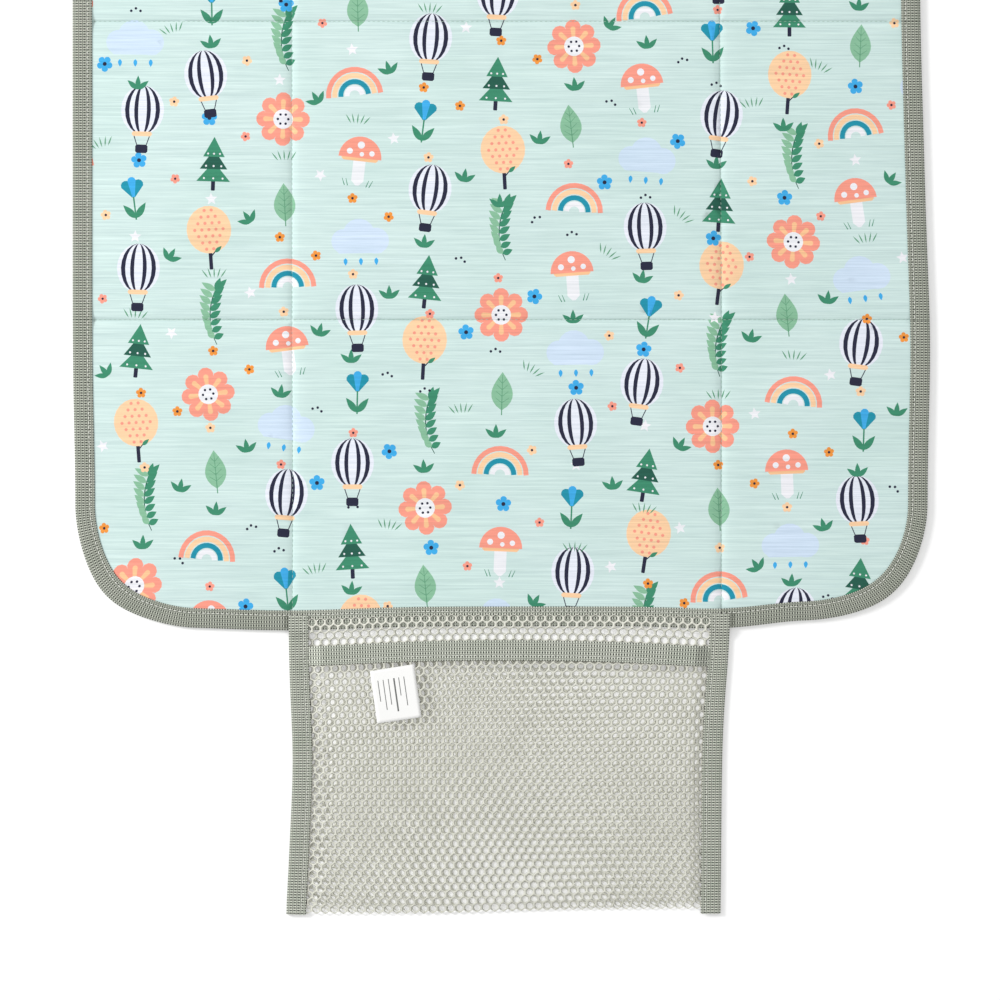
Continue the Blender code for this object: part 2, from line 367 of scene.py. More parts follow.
# Both nets are one yarn; the back net is painted lighter, as painted light standing in for the light that
# shines through the nets onto it.
FRONT_NET, BACK_NET = net_yarn("front net", 210), net_yarn("back net", 222)
TAPE_THREAD = plain_thread("tape thread", 236, 238, 228)
QUILT_THREAD = plain_thread("quilting thread", 178, 208, 194)
TACK_THREAD = plain_thread("tack thread", 96, 100, 84)
INK = plain_thread("label ink", 120, 122, 120)


# The print: simple shapes in millimetres, each an outline and a colour, later ones over earlier ones

INKS = {
    "white": linear(232, 236, 246),
    "snow": linear(240, 240, 244),
    "navy": linear(36, 38, 62),
    "peach": linear(252, 209, 166),
    "sand": linear(250, 196, 148),
    "coral": linear(248, 156, 136),
    "teal": linear(28, 146, 170),
    "blue": linear(62, 172, 232),
    "green": linear(60, 140, 108),
    "dark green": linear(34, 92, 76),
    "leaf": linear(138, 190, 156),
    "vein": linear(96, 156, 122),
    "ice": linear(208, 226, 244),
    "orange": linear(240, 150, 62),
}


def turned(points, angle, x=0.0, y=0.0):
    c, s = math.cos(angle), math.sin(angle)
    return [(x + px * c - py * s, y + px * s + py * c) for px, py in points]


def oval(x, y, wide, high=None, turn=0.0, steps=14):
    high = wide if high is None else high
    ring = [2 * math.pi * k / steps for k in range(steps)]
    return turned([(wide * math.cos(a), high * math.sin(a)) for a in ring], turn, x, y)


def block(left, low, right, high, round_off=1.2):
    """A box with cut corners."""
    r = min(round_off, (right - left) / 2.2, (high - low) / 2.2)
    return [(left + r, low), (right - r, low), (right, low + r), (right, high - r),
            (right - r, high), (left + r, high), (left, high - r), (left, low + r)]


def line(points, width, end_width=None):
    """A drawn line of straight runs, as wide as width, or thinning to end_width."""
    end_width = width if end_width is None else end_width
    ones, others = [], []
    last = len(points) - 1
    for k, (x, y) in enumerate(points):
        (ax, ay), (bx, by) = points[max(k - 1, 0)], points[min(k + 1, last)]
        length = math.hypot(bx - ax, by - ay)
        half = (width + (end_width - width) * k / last) / 2
        nx, ny = -(by - ay) / length * half, (bx - ax) / length * half
        ones.append((x + nx, y + ny))
        others.append((x - nx, y - ny))
    return ones + others[::-1]


def arc(x, y, radius, start, end, steps=5):
    """Points on an arc, its angles in degrees."""
    angles = [math.radians(start + (end - start) * k / steps) for k in range(steps + 1)]
    return [(x + radius * math.cos(a), y + radius * math.sin(a)) for a in angles]


def blade(x, y, length, width, angle, steps=6):
    """A leaf or petal from (x, y), pointing at an angle in degrees."""
    edge = [(length * k / steps, width / 2 * math.sin(math.pi * (k / steps) ** 0.8)) for k in range(1, steps)]
    outline = [(0.0, 0.0)] + [(px, -py) for px, py in edge] + [(length, 0.0)] + edge[::-1]
    return turned(outline, math.radians(angle), x, y)


def petal(x, y, length, width, angle):
    """A round-ended petal from (x, y)."""
    tip = arc(length - width / 2, 0, width / 2, -80, 80, 5)
    return turned([(0, -width * 0.16)] + tip + [(0, width * 0.16)], math.radians(angle), x, y)


def bloom():
    shapes = [(petal(0, 0, 17.5, 10.5, 45 * k), "coral") for k in range(8)]
    shapes += [(petal(0, 0, 13, 3.4, 45 * k), "sand") for k in range(8)]
    stamens = [turned([(3.4, 0)], math.radians(60 * k))[0] for k in range(6)]
    shapes.append((oval(0, 0, 6.4, steps=18), "snow"))
    return shapes + [(oval(*at, 0.9, steps=6), "navy") for at in stamens]


def balloon():
    """A striped hot-air balloon."""
    shapes = [(line([(x, -8), (x * 0.5, -17)], 0.6), "navy") for x in (-6, 6)]
    for wide, ink in ((14, "white"), (11.4, "navy"), (8.6, "white"), (5.4, "navy"), (2.8, "white")):
        shapes.append((oval(0, 6, wide, 16, steps=22), ink))
    return shapes + [(block(-6.5, -11, 6.5, -8, 1), "peach"), (block(-4, -22, 4, -16.5, 1), "navy")]


def round_tree():
    shapes = [(block(-1.2, -20, 1.2, 2, 0.4), "navy"), (oval(0, 6, 14.5, 15.5, steps=22), "peach")]
    spots = [(4.6 * i + 2.3 * (j % 2), 4.2 * j + 6) for i in range(-3, 3) for j in range(-3, 4)]
    shapes += [(oval(x, y, 1.1, steps=7), "coral") for x, y in spots if math.hypot(x / 12, (y - 6) / 13) < 1]
    return shapes + [(line([(0, -12), (4.5, -7)], 0.9, 0.5), "navy"), (blade(3, -9, 6, 2.6, 40), "green")]


def cloud():
    shapes = [(oval(x, y, r, steps=18), "ice") for x, y, r in ((-10, 0, 8), (0, 4, 10.5), (11, 0, 8.5))]
    shapes += [(block(-17, -8, 18.5, 1, 4), "ice")]
    return shapes + [(blade(x, -11, 5, 2.6, -90), "blue") for x in (-9, 1, 11)]


def rainbow():
    bands = ((17, "coral"), (13, "peach"), (9, "teal"), (5, "snow"))
    return [(line(arc(0, -7, radius, 180, 0, 14), 3.3), ink) for radius, ink in bands]


def fir():
    shapes = [(block(-1.3, -19, 1.3, -10, 0.4), "navy")]
    for low, wide, ink in ((-13, 11, "green"), (-5, 9, "dark green"), (3, 7, "green")):
        shapes.append(([(-wide, low), (wide, low), (0, low + 13)], ink))
        shapes += [(oval(wide * f, low + 2, 0.7, steps=6), "snow") for f in (-0.55, 0, 0.55)]
    return shapes


def toadstool():
    shapes = [(block(-4, -17, 4, 2, 3), "snow"), (block(-12, -1, 12, 2, 1.4), "sand")]
    shapes += [(arc(0, 1, 14, 0, 180, 16), "coral")]
    spots = ((-7, 5, 2), (0, 9.5, 2.4), (7.5, 4.6, 1.8), (1, 3.6, 1.5))
    shapes += [(oval(x, y, r, steps=10), "snow") for x, y, r in spots]
    return shapes + [(line([(x, -17.5), (x * 1.25, -13)], 0.6, 0.3), "green") for x in (-8, -6, 6, 8)]


def twig():
    """A curved twig with leaves in pairs."""
    stem = arc(40, 0, 40, 154, 206, 8)
    shapes = [(line(stem, 0.9, 0.5), "dark green")]
    for k, (x, y) in enumerate(stem[:-1]):
        for side, ink in ((38, "green"), (142, "leaf")):
            shapes.append((blade(x, y, 10.5 - 0.5 * k, 4.2, side + 6 - 3 * k), ink))
    return shapes + [(blade(*stem[0], 9, 4, 68), "green")]


def plain_leaf():
    veins = [(line([(0, -15), (0, 11)], 0.7, 0.3), "vein")]
    for k in range(4):
        y = -7 + 4.2 * k
        veins += [(line([(0, y), (side * (4.5 - 0.5 * k), y + 3.2)], 0.4, 0.25), "vein") for side in (-1, 1)]
    return [(blade(0, -12, 25, 14, 90, 9), "leaf")] + veins


def tulip():
    shapes = [(line([(0, -13), (0, 4)], 1.0), "green")]
    shapes += [(blade(0, -12, 12, 4.4, angle), "green") for angle in (52, 128)]
    shapes += [(petal(0, 2, 12, 6.5, angle), "teal") for angle in (62, 118)]
    return shapes + [(petal(0, 2, 13, 5.5, 90), "blue")]


def sprig():
    return [(blade(0, -4, 9, 3.4, angle), "green") for angle in (40, 90, 140)]


def grass():
    return [(blade(x, -2.5, 7, 0.9, 90 - 9 * x, 3), "vein") for x in (-4, -2, 0, 2, 4)]


def star():
    return [([turned([(4.2 - 2.3 * (k % 2), 0)], math.radians(18 + 36 * k))[0] for k in range(10)], "snow")]


def dots():
    return [(oval(x, y, 0.9, steps=8), "navy") for x, y in ((-3, 0), (0, 1.6), (3, 0))]


def flower(radius, ink):
    shapes = [(petal(0, 0, radius, radius * 0.85, 72 * k + 18), ink) for k in range(5)]
    return shapes + [(oval(0, 0, radius * 0.26, steps=8), "navy")]


LARGE = (
    bloom(), balloon(), twig(), cloud(), round_tree(), toadstool(), fir(), rainbow(), balloon(), plain_leaf(),
    tulip(),
)
SMALL = (
    flower(5.2, "blue"), sprig(), star(), flower(3.2, "coral"), grass(), dots(), flower(3.4, "orange"),
    sprig(), flower(3.4, "peach"),
)
COLUMN_PITCH, ROW_PITCH = 47, 50
REACH = 45  # more than any shape's size


def anticlockwise(outline):
    after = np.roll(outline, -1, 0)
    area = (outline[:, 0] * after[:, 1] - outline[:, 1] * after[:, 0]).sum()
    return outline if area > 0 else outline[::-1]


def prints_over(low, high):
    """[(outline, ink)] in metres of all that is printed between two corners of the cloth: large shapes in
    columns, every other column half a step down, and small ones between them."""
    random = np.random.default_rng(11)
    found = []
    for column in range(-7, 8):
        for row in range(-9, 10):
            x, y = COLUMN_PITCH * column, ROW_PITCH * (row + 0.5 * (column % 2))
            shifts = random.uniform(-3, 3, (2, 2))
            turns = np.radians(random.uniform((-9, -40), (9, 40)))
            half_way = (x + 0.5 * COLUMN_PITCH, y + 0.26 * ROW_PITCH)
            for shapes, at, shift, turn in (
                (LARGE[(5 * column + 2 * row) % len(LARGE)], (x, y), shifts[0], turns[0]),
                (SMALL[(4 * column + 5 * row) % len(SMALL)], half_way, shifts[1], turns[1]),
                (SMALL[(2 * column + 7 * row + 3) % len(SMALL)], (x, y + ROW_PITCH / 2), shifts[1], turns[0]),
            ):
                if (np.array(at) + REACH < low / MM).any() or (np.array(at) - REACH > high / MM).any():
                    continue
                for outline, ink in shapes:
                    moved = np.array(turned(outline, turn, *(at + shift))) * MM
                    if (moved.max(0) > low).all() and (moved.min(0) < high).all():
                        found.append((anticlockwise(moved), ink))
    return found


# The quilted cloth's height

SEAM_HIGH = SHEET_HIGH - 1.3 * MM  # the cloth at a fold's stitches
PUFF = 0.9 * MM  # how far the middle of a panel swells above its seams
CLOTH_STEP = 5 * MM


def from_edge(x, y):
    """How far points are inside the pad's outline, with its round corners."""
    middle = ((LEFT + RIGHT) / 2, (FOOT + HEAD) / 2)
    half = ((RIGHT - LEFT) / 2 - CORNER, (HEAD - FOOT) / 2 - CORNER)
    over = np.maximum(np.abs(np.stack([x - middle[0], y - middle[1]])) - np.reshape(half, (2, 1)), 0)
    sides = np.minimum(np.minimum(x - LEFT, RIGHT - x), np.minimum(y - FOOT, HEAD - y))
    in_corner = (over > 0).all(0)
    return np.where(in_corner, CORNER - np.hypot(*over), sides)


def from_seams(x, y):
    """How far points are from the nearest fold's stitches."""
    across = np.minimum(np.abs(x - LEFT_FOLD), np.abs(x - RIGHT_FOLD))
    return np.minimum(across, np.minimum(np.abs(y - FOOT_FOLD), np.abs(y - HEAD_FOLD)))


def squares(columns, rows):
    """The faces between points laid out row by row, anticlockwise."""
    return [
        [j * columns + i, j * columns + i + 1, (j + 1) * columns + i + 1, (j + 1) * columns + i]
        for j in range(rows - 1)
        for i in range(columns - 1)
    ]


def swollen_cloth():
    """A sheet sewn down along the folds and the binding and swollen by the wadding, as (xs, ys, heights)."""
    xs = np.arange(LEFT, RIGHT + CLOTH_STEP, CLOTH_STEP)
    ys = np.arange(FOOT, HEAD + CLOTH_STEP, CLOTH_STEP)
    grid_x, grid_y = (a.ravel() for a in np.meshgrid(xs, ys))
    held = (from_edge(grid_x, grid_y) < TAPE) | (from_seams(grid_x, grid_y) < CLOTH_STEP * 0.51)
    points = np.stack([grid_x, grid_y, np.zeros_like(grid_x)], 1)
    # A little unevenness in the wadding starts the wrinkles.
    points[:, 2] = [0.0 if h else 0.4 * MM * noise.noise(Vector(p) * 45) for p, h in zip(points, held)]
    mesh = bpy.data.meshes.new("swelling_cloth")
    mesh.from_pydata(points.tolist(), [], squares(len(xs), len(ys)))
    cloth = bpy.data.objects.new("swelling_cloth", mesh)
    bpy.context.scene.collection.objects.link(cloth)
    stitched = cloth.vertex_groups.new(name="stitched")
    stitched.add(np.flatnonzero(held).tolist(), 1.0, "REPLACE")
    modifier = cloth.modifiers.new("Cloth", "CLOTH")
    settings = modifier.settings
    settings.vertex_group_mass = "stitched"
    settings.quality = 5
    settings.mass = 0.2
    settings.tension_stiffness = settings.compression_stiffness = 12
    settings.shear_stiffness = 6
    settings.bending_stiffness = 0.12
    settings.shrink_min = settings.shrink_max = -0.006
    settings.use_pressure = True
    settings.uniform_pressure_force = 1.2
    settings.effector_weights.gravity = 0
    modifier.collision_settings.use_collision = False
    scene = bpy.context.scene
    for number in range(1, 19):
        scene.frame_set(number)
    swollen = cloth.evaluated_get(bpy.context.evaluated_depsgraph_get()).to_mesh()
    heights = np.array([v.co.z for v in swollen.vertices])
    scene.frame_set(1)
    bpy.data.objects.remove(cloth)
    heights = np.abs(heights) / max(np.percentile(np.abs(heights), 97), 1e-6)
    return xs, ys, np.clip(heights, 0, 1.25).reshape(len(ys), len(xs))


CLOTH_X, CLOTH_Y, CLOTH_RISE = swollen_cloth()


def rise(x, y):
    """The swelling at points, from 0 at the stitches to about 1, between the simulated cloth's own points."""
    column = np.clip((x - CLOTH_X[0]) / CLOTH_STEP, 0, len(CLOTH_X) - 1.001)
    row = np.clip((y - CLOTH_Y[0]) / CLOTH_STEP, 0, len(CLOTH_Y) - 1.001)
    i, j = column.astype(int), row.astype(int)
    s, t = column - i, row - j
    s, t = s * s * (3 - 2 * s), t * t * (3 - 2 * t)
    low = CLOTH_RISE[j, i] * (1 - s) + CLOTH_RISE[j, i + 1] * s
    high = CLOTH_RISE[j + 1, i] * (1 - s) + CLOTH_RISE[j + 1, i + 1] * s
    return low * (1 - t) + high * t


def waves_at(x, y, across, along, layer):
    """Smooth noise at points, with so many waves to a metre each way."""
    places = zip(np.ravel(x).tolist(), np.ravel(y).tolist())
    found = [noise.noise((px * across, py * along, layer)) for px, py in places]
    return np.reshape(found, np.shape(x))


def creases(x, y):
    """Small soft creases, mostly across the seams that hold them."""
    return waves_at(x, y, 22, 34, 1.7) + 0.5 * waves_at(x, y, 90, 60, 5.1)


def seam_dip(x, y):
    """From 0 at a fold's stitches to 1 beside them."""
    return 1 - np.exp(-((from_seams(x, y) / (2.6 * MM)) ** 1.2))


def sheet_height(x, y):
    at_tape = np.clip((from_edge(x, y) - TAPE) / (7 * MM), 0, 1)
    base = SEAM_HIGH + (SHEET_HIGH - SEAM_HIGH) * np.maximum(seam_dip(x, y), 0)
    waves = 0.28 * MM * creases(x, y) * at_tape * seam_dip(x, y)
    return base + PUFF * rise(x, y) * at_tape + waves


# Outlines of the panels, and the lines that divide them

TURN_LINES = 12
APART = 0.2 * MM  # the least that a panel's lines keep from its sides


def corner_centre(row, column):
    x = LEFT + CORNER if column == "left" else RIGHT - CORNER
    y = FOOT + CORNER if row == "foot" else HEAD - CORNER
    return x, y


def straight_run(start, end, way, count):
    """Even steps from start to end, each with the way in from the edge."""
    points = np.linspace(start, end, count + 1)
    return np.column_stack([points, np.tile(np.array(way, float), (count + 1, 1))])


def bound_path(row, column, step):
    """[(x, y, way in x, way in y)] along a panel's bound edges, anticlockwise, at even steps."""
    (x0, x1), (y0, y1) = X_LINES[column], Y_LINES[row]
    across, along = int((x1 - x0) / step), int((y1 - y0) / step)
    straight = {
        ("foot", "centre"): ((x0, FOOT), (x1, FOOT), (0, 1), across),
        ("head", "centre"): ((x1, HEAD), (x0, HEAD), (0, -1), across),
        ("middle", "left"): ((LEFT, y1), (LEFT, y0), (1, 0), along),
        ("middle", "right"): ((RIGHT, y0), (RIGHT, y1), (-1, 0), along),
    }
    if (row, column) in straight:
        return straight_run(*straight[row, column])
    cx, cy = corner_centre(row, column)
    side, end = (-1 if column == "left" else 1), (-1 if row == "foot" else 1)
    fold_x, fold_y = (x1 if column == "left" else x0), (y1 if row == "foot" else y0)
    edge_x, edge_y = cx + side * CORNER, cy + end * CORNER
    angles = np.linspace(0, math.pi / 2, int(math.pi / 2 * CORNER / step) + 1)[1:]
    ways = np.stack([-side * np.cos(angles), -end * np.sin(angles)], 1)
    path = np.concatenate([
        straight_run((edge_x, fold_y), (edge_x, cy), (-side, 0), max(int(abs(fold_y - cy) / step), 2)),
        np.column_stack([(cx, cy) - ways * CORNER, ways]),
        straight_run((cx, edge_y), (fold_x, edge_y), (0, -end), max(int(abs(fold_x - cx) / step), 2))[1:],
    ])
    return path if side * end > 0 else path[::-1]


def held_in(row, column, inset):
    """A panel's sides as (low x, high x), (low y, high y), with its bound ones moved in."""
    (x0, x1), (y0, y1) = X_LINES[column], Y_LINES[row]
    xs = (x0 + inset * (column == "left"), x1 - inset * (column == "right"))
    return xs, (y0 + inset * (row == "foot"), y1 - inset * (row == "head"))


def panel_outline(row, column, inset, step):
    """The panel's outline, anticlockwise, held in from the bound edges, with points along every side."""
    (low_x, high_x), (low_y, high_y) = held_in(row, column, inset)
    corners = [(low_x, low_y), (high_x, low_y), (high_x, high_y), (low_x, high_y)]
    corner_order = (("foot", "left"), ("foot", "right"), ("head", "right"), ("head", "left"))
    outline = []
    for k, (x, y) in enumerate(corners):
        if corner_order[k] == (row, column):
            cx, cy = corner_centre(row, column)
            start = math.pi + k * math.pi / 2
            for a in np.linspace(start, start + math.pi / 2, 26):
                outline.append((cx + (CORNER - inset) * math.cos(a), cy + (CORNER - inset) * math.sin(a)))
        else:
            outline.append((x, y))
    xs, ys = panel_lines(row, column, step)
    filled = []
    for one, other in zip(outline, outline[1:] + outline[:1]):
        filled.append(one)
        if abs(one[1] - other[1]) < 0.01 * MM:
            filled += [(x, one[1]) for x in lines_between(one[0], other[0], xs)]
        elif abs(one[0] - other[0]) < 0.01 * MM:
            filled += [(one[0], y) for y in lines_between(one[1], other[1], ys)]
    return filled


def lines_between(start, end, lines):
    """The lines that lie between start and end, in that order."""
    low, high = sorted((start, end))
    found = [v for v in lines if low + APART < v < high - APART]
    return found if end > start else found[::-1]


def turning_at(row, column):
    """The folds that a panel's cloth turns over at, as [(place, way, length)] across it and along it."""
    side = {"left": [(LEFT_FOLD, -1, SIDE_TURN)], "right": [(RIGHT_FOLD, 1, SIDE_TURN)], "centre": []}[column]
    along = {"foot": [(FOOT_FOLD, -1, FOOT_TURN)], "head": [(HEAD_FOLD, 1, HEAD_TURN)], "middle": []}[row]
    return side, along if column == "centre" else []


def turn_lines(fold, way, turn):
    """Where the cloth bends as it turns over at a fold."""
    return [fold + way * turn * k / TURN_LINES for k in range(1, TURN_LINES + 1)]


def lines_across(low, high, step, turns):
    """Places between low and high, about a step apart, and closer where the cloth turns over at a fold."""
    found = list(np.linspace(low, high, max(int((high - low) / step), 1) + 1)[1:-1])
    for fold, way, turn in turns:
        found = [v for v in found if not 0 < (v - fold) * way < turn + step * 0.4]
        found += [v for v in turn_lines(fold, way, turn) if low < v < high]
    return sorted(found)


def panel_lines(row, column, step):
    """The lines across and along a panel that divide its cloth. They crowd together where it turns over."""
    (x0, x1), (y0, y1) = X_LINES[column], Y_LINES[row]
    side, along = turning_at(row, column)
    xs, ys = lines_across(x0, x1, step, side), lines_across(y0, y1, step, along)
    # Rows beside each seam shape its dip, where the turn's own rows don't.
    for fold in (LEFT_FOLD, RIGHT_FOLD):
        xs += beside_seam(fold, x0, x1, side)
    for fold in (FOOT_FOLD, HEAD_FOLD):
        ys += beside_seam(fold, y0, y1, along)
    return thinned(xs), thinned(ys)


def grid_in(row, column, inset, step):
    """Points inside the panel, where its lines cross."""
    (x0, x1), (y0, y1) = X_LINES[column], Y_LINES[row]
    grid_x, grid_y = (a.ravel() for a in np.meshgrid(*panel_lines(row, column, step)))
    outline_inset = inset + 1.0 * MM
    keep = from_edge(grid_x, grid_y) > outline_inset
    keep &= np.minimum(grid_x - x0, x1 - grid_x) > APART
    keep &= np.minimum(grid_y - y0, y1 - grid_y) > APART
    return np.stack([grid_x[keep], grid_y[keep]], 1)


def turning_edges(row, column, inset):
    """The straight lines that the cloth bends on as it turns over, from side to side of the panel."""
    (low_x, high_x), (low_y, high_y) = held_in(row, column, inset)
    side, along = turning_at(row, column)
    lines = [((x, low_y), (x, high_y)) for turn in side for x in turn_lines(*turn)]
    return lines + [((low_x, y), (high_x, y)) for turn in along for y in turn_lines(*turn)]


def beside_seam(fold, low, high, turns):
    places = [fold + d * MM for d in (-4.2, -2.6, -1.3, 1.3, 2.6, 4.2)]
    taken = [turn for at, _, turn in turns if at == fold]
    return [p for p in places if low < p < high and not (taken and abs(p - fold) <= taken[0])]


def thinned(values, least=0.22 * MM):
    """Sorted values with none closer than least to the one before."""
    kept = []
    for value in sorted(values):
        if not kept or value - kept[-1] >= least:
            kept.append(value)
    return kept


# The pad's layers

def flat_mesh(outline, inner, bends, prints=()):
    """Triangles that fill an outline, through inner points, along the lines it bends on and round each
    printed shape. Gives points (n, 2), faces, and each face's ink or None."""
    points = [Vector(p) for p in outline]
    faces = [list(range(len(points)))]
    points += [Vector(p) for p in inner]
    for shape, _ in prints:
        faces.append(list(range(len(points), len(points) + len(shape))))
        points += [Vector(p) for p in shape]
    edges = [(len(points) + 2 * k, len(points) + 2 * k + 1) for k in range(len(bends))]
    points += [Vector(end) for bend in bends for end in bend]
    found, _, triangles, _, _, sources = delaunay_2d_cdt(points, edges, faces, 1, 1e-7)
    kept, inks = [], []
    for triangle, source in zip(triangles, sources):
        if 0 in source:
            kept.append(triangle)
            top = max(source)
            inks.append(prints[top - 1][1] if top else None)
    used, numbers = np.unique(kept, return_inverse=True)
    return np.array(found)[used], numbers.reshape(-1, 3).tolist(), inks


def panel_mesh(row, column, inset, step, prints=()):
    outline, inner = panel_outline(row, column, inset, step), grid_in(row, column, inset, step)
    return flat_mesh(outline, inner, turning_edges(row, column, inset), prints)


def closed_sheet(name, flat, faces, top, bottom, material):
    """A closed sheet from one flat mesh: its upper and lower sides and the edge between them."""
    count = len(flat)
    edges = {}
    for face in faces:
        for a, b in zip(face, face[1:] + face[:1]):
            edges[(a, b)] = edges.get((a, b), 0) + 1
    rim = [(a, b) for a, b in edges if (b, a) not in edges]
    points = np.concatenate([np.column_stack([flat, top]), np.column_stack([flat, bottom])])
    under = [[v + count for v in reversed(face)] for face in faces]
    walls = [[a + count, b + count, b, a] for a, b in rim]
    return piece_from(name, points, faces + under + walls, material)


SHEET_INSET = 2.0 * MM
SHEET_THICK = 0.35 * MM


def top_sheet(row, column):
    """The printed cotton of one panel, coloured face by face where shapes are printed."""
    step = 4.5 * MM
    outline = panel_outline(row, column, SHEET_INSET, step)
    prints = prints_over(np.min(outline, 0), np.max(outline, 0))
    flat, faces, inks = panel_mesh(row, column, SHEET_INSET, step, prints)
    top = sheet_height(flat[:, 0], flat[:, 1])
    piece = closed_sheet(f"printed_sheet_{row}_{column}", flat, faces, top, top - SHEET_THICK, COTTON)
    colours = np.empty((len(piece.data.polygons), 4))
    colours[:] = (*MINT, 1)
    for k, ink in enumerate(inks):
        if ink:
            colours[k, :3] = INKS[ink]
    sizes = np.array([p.loop_total for p in piece.data.polygons])
    stored = piece.data.color_attributes.new("print", "FLOAT_COLOR", "CORNER")
    stored.data.foreach_set("color", np.repeat(colours, sizes, axis=0).ravel())
    return piece


def foam(row, column):
    """The wadding, thin at the seams and under the tape."""
    flat, faces, _ = panel_mesh(row, column, 3.2 * MM, 7 * MM)
    top = sheet_height(flat[:, 0], flat[:, 1]) - SHEET_THICK - 0.1 * MM
    bottom = np.minimum(np.full(len(flat), FOAM_LOW), top - 0.2 * MM)
    return closed_sheet(f"wadding_{row}_{column}", flat, faces, top, bottom, WADDING)


def backing(row, column):
    """The wipe-clean cloth underneath, drawn up a little at the seams."""
    flat, faces, _ = panel_mesh(row, column, SHEET_INSET, 6 * MM)
    x, y = flat[:, 0], flat[:, 1]
    drawn_up = 0.22 * MM * (1 - seam_dip(x, y))
    bottom = 0.02 * MM + drawn_up + 0.12 * MM * np.clip(creases(x, y) + 0.3, 0, 1) * seam_dip(x, y)
    under_tape = np.clip(1 - (from_edge(x, y) - TAPE + 1 * MM) / (3 * MM), 0, 1)
    bottom = np.maximum(bottom, 0.45 * MM * under_tape)
    return closed_sheet(f"backing_cloth_{row}_{column}", flat, faces, bottom + 0.25 * MM, bottom, BACKING)


# Tape: the binding, the pocket's straps and its mouth band

SEWN_AT = 0.76  # how far in from the folded edge a tape is sewn, as a share of its width


def tape_profile(wide):
    """[(distance in, share of the height)] round folded tape. The outer side, with the ribs, goes over the
    top, round the edge and back underneath, and the inner side follows."""
    bend = 1.5 * MM
    outer = [(wide, 0.95), (wide - 0.5 * MM, 1.0), (wide * 0.82, 1.0), (wide * SEWN_AT, 0.90)]
    outer += [(wide * 0.70, 1.0), (wide * 0.5, 1.0), (wide * 0.3, 1.0)]
    angles = np.linspace(0.15, math.pi - 0.15, 7)
    outer += [(bend * (1 - math.sin(a)), 0.5 + 0.5 * math.cos(a)) for a in angles]
    outer += [(wide * 0.5, 0.0), (wide, 0.0)]
    inner = [(wide, 0.13), (wide * 0.4, 0.13), (bend * 0.9, 0.15), (bend * 0.55, 0.5), (bend * 0.9, 0.85)]
    return outer, inner + [(wide * 0.4, 0.87), (wide, 0.84)]


def lengths_along(points):
    """How far along a path each of its points is."""
    return np.concatenate([[0], np.cumsum(np.linalg.norm(np.diff(points, axis=0), axis=1))])


def tape(name, path, wide, heights, material, pulls=PULLS):
    """Folded ribbed tape along a path of (x, y, way in x, way in y), with real ribs across it. heights(x, y)
    gives its low and top."""
    outer, inner = tape_profile(wide)
    profile = outer + inner
    runs = lengths_along(path[:, :2])
    around = lengths_along(np.array(profile) * (1, 3 * MM))
    points = []
    for run, (x, y, way_x, way_y) in zip(runs, path):
        low, top = heights(x, y)
        rib = 0.12 * MM * math.cos(2 * math.pi * run / RIB)
        for j, (distance, share) in enumerate(profile):
            out = rib * (2 * share - 1) if j < len(outer) else 0.0
            points.append((x + way_x * distance, y + way_y * distance, low + share * (top - low) + out))
    size, count = len(profile), len(path)
    faces = [
        [k * size + j, (k + 1) * size + j, (k + 1) * size + (j + 1) % size, k * size + (j + 1) % size]
        for k in range(count - 1)
        for j in range(size)
    ]
    faces += [list(range(size)), list(range(size * count - 1, size * (count - 1) - 1, -1))]
    piece = piece_from(name, points, faces, material, pulls=pulls)
    layer = piece.data.uv_layers.new(name="along_tape")
    for loop in piece.data.loops:
        k, j = divmod(loop.vertex_index, size)
        layer.data[loop.index].uv = (runs[k], around[j])
    return outward(piece)


def outward(piece):
    """Turns the faces of a closed piece outwards where they all point in."""
    mesh = piece.data
    corners = np.array([v.co for v in mesh.vertices])
    mesh.calc_loop_triangles()
    triangles = np.array([t.vertices for t in mesh.loop_triangles])
    a, b, c = (corners[triangles[:, k]] for k in range(3))
    if np.einsum("ij,ij->i", a, np.cross(b, c)).sum() < 0:
        mesh.flip_normals()
    return piece


def one_stitch():
    """A single stitch, modelled once: a short rounded thread along X, its ends dipping into the cloth."""
    bpy.ops.object.select_all(action="DESELECT")
    bpy.ops.mesh.primitive_uv_sphere_add(segments=8, ring_count=5, radius=0.5)
    stitch = bpy.context.active_object
    bpy.ops.object.mode_set(mode="EDIT")
    bpy.ops.mesh.select_all(action="SELECT")
    bpy.ops.transform.rotate(value=math.pi / 2, orient_axis="Y", center_override=(0, 0, 0))
    bpy.ops.transform.resize(value=(1, 0.55, 0.45), center_override=(0, 0, 0))
    bpy.ops.object.mode_set(mode="OBJECT")
    points = np.array([v.co for v in stitch.data.vertices])
    faces = [list(p.vertices) for p in stitch.data.polygons]
    bpy.data.objects.remove(stitch)
    return points, faces


STITCH = one_stitch()


def stitches(name, path, length, pitch, wide, material, pulls=PULLS):
    """A row of stitches along (x, y, z) points, a pitch apart."""
    path = np.asarray(path)
    runs = lengths_along(path)
    shape, shape_faces = STITCH
    points, faces = [], []
    for at in np.arange(pitch * 0.6, runs[-1] - pitch * 0.3, pitch):
        places = (at, at + 0.4 * pitch)
        centre, ahead = np.stack([np.interp(places, runs, path[:, k]) for k in range(3)], 1)
        way = (ahead - centre) / np.linalg.norm(ahead - centre)
        side = np.cross((0, 0, 1), way)
        side /= np.linalg.norm(side)
        frame_of = np.stack([way * length, side * wide, np.cross(way, side) * wide])
        faces += [[v + len(points) * len(shape) for v in f] for f in shape_faces]
        points.append(shape @ frame_of + centre)
    return piece_from(name, np.concatenate(points), faces, material, pulls=pulls)


